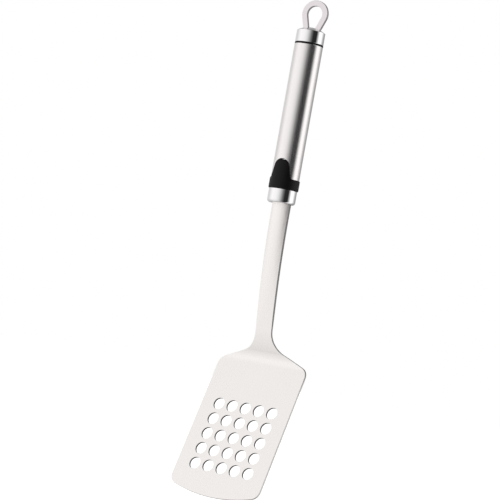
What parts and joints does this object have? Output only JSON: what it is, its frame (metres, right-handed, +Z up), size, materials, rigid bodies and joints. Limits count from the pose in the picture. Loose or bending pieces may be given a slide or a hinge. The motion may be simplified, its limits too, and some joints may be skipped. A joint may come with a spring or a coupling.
{
  "type": "grill spatula",
  "caption": "Perforated steel grill spatula: cranked blade on a crowned stem, round tubular handle with a black thumb rest, polished end cap and hanging loop.",
  "frame": {"origin": "point inside the top of the hanging loop that rests on a hook, on the handle axis", "axes": "+Z up the handle axis towards the loop, +X across the blade, -Y out of the blade's food side"},
  "size_m": [0.0802, 0.0386, 0.3701],
  "materials": {
    "satin_steel": "fine satin, almost white under soft light",
    "loop_steel": "fine satin, a shade darker than the blade",
    "tube_steel": "brushed round the tube",
    "polished_steel": "mirror polished",
    "black_plastic": "matte with a fine moulded texture",
    "black_rubber": "matte",
    "cast_aluminium": "as turned",
    "plain_steel": "plain turned steel"
  },
  "bodies": {
    "root": {"blade_and_stem": "satin_steel", "hanging_loop": "loop_steel", "handle_tube": "tube_steel", "lower_ferrule": "polished_steel", "end_cap": "polished_steel", "thumb_rest": "black_plastic", "seal_ring": "black_rubber", "lower_plug": "cast_aluminium", "upper_plug": "cast_aluminium", "tang_pins": "plain_steel", "tie_rod": "plain_steel", "tie_rod_nut": "plain_steel", "plain_washer": "plain_steel", "spring_washer": "plain_steel", "loop_plate": "plain_steel"}
  },
  "joints": []
}
